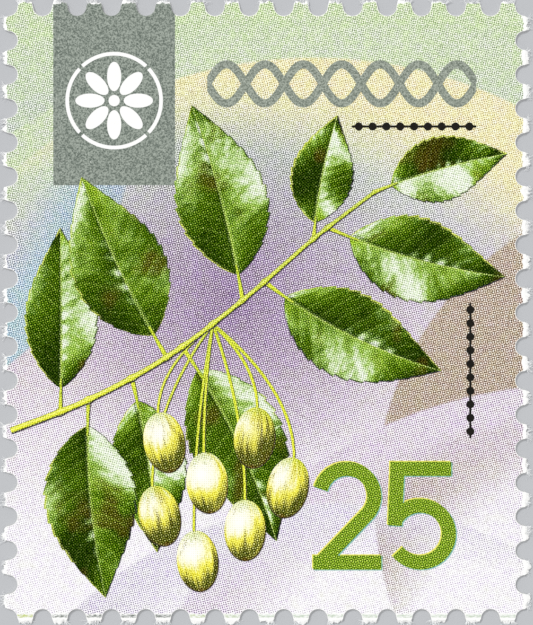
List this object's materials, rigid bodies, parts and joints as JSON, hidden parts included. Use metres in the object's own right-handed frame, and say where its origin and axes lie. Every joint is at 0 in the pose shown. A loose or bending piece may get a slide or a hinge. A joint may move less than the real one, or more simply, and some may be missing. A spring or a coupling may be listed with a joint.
{
  "type": "postage stamp",
  "caption": "Perforated, gummed paper stamp lying face up, printed with a leafy twig, pale hanging fruits, a silver corner block, a chain border and plain numerals.",
  "frame": {"origin": "middle of the gummed back, on the surface that the stamp lies on", "axes": "+Z out of the printed face; +Y towards the top of the picture, along the longer side; +X to the right of the picture"},
  "size_m": [0.0222, 0.0263, 0.0001],
  "materials": {
    "gum": "dried gum, smooth and slightly yellow, with a soft gloss",
    "paper": "white coated paper, with a torn, fibrous edge at each tooth",
    "tint_ink": "pale tints of process ink in a fine screen, under a low gloss",
    "silver_ink": "silver-grey metallic ink, finely speckled",
    "black_ink": "solid black ink",
    "green_ink": "yellow-green process ink in a fine screen",
    "leaf_ink": "deep green process ink with pale veins, in a fine screen",
    "twig_ink": "yellow-green process ink, darker along one side",
    "fruit_ink": "pale cream process ink, shaded round the edge"
  },
  "bodies": {
    "root": {"gum_film": "gum", "paper_sheet": "paper", "ground_tint": "tint_ink", "sweep_blue": "tint_ink", "sweep_mint": "tint_ink", "sweep_cream": "tint_ink", "sweep_peach": "tint_ink", "sweep_rose": "tint_ink", "sweep_lilac": "tint_ink", "corner_block": "silver_ink", "silver_chain": "silver_ink", "rule_across": "black_ink", "rule_down": "black_ink", "numeral_2": "green_ink", "numeral_5": "green_ink", "leaf_1": "leaf_ink", "leaf_2": "leaf_ink", "leaf_3": "leaf_ink", "leaf_4": "leaf_ink", "leaf_5": "leaf_ink", "leaf_6": "leaf_ink", "leaf_7": "leaf_ink", "leaf_8": "leaf_ink", "leaf_9": "leaf_ink", "leaf_10": "leaf_ink", "twig": "twig_ink", "fruit_1": "fruit_ink", "fruit_2": "fruit_ink", "fruit_3": "fruit_ink", "fruit_4": "fruit_ink", "fruit_5": "fruit_ink", "fruit_6": "fruit_ink", "fruit_7": "fruit_ink"}
  },
  "joints": []
}
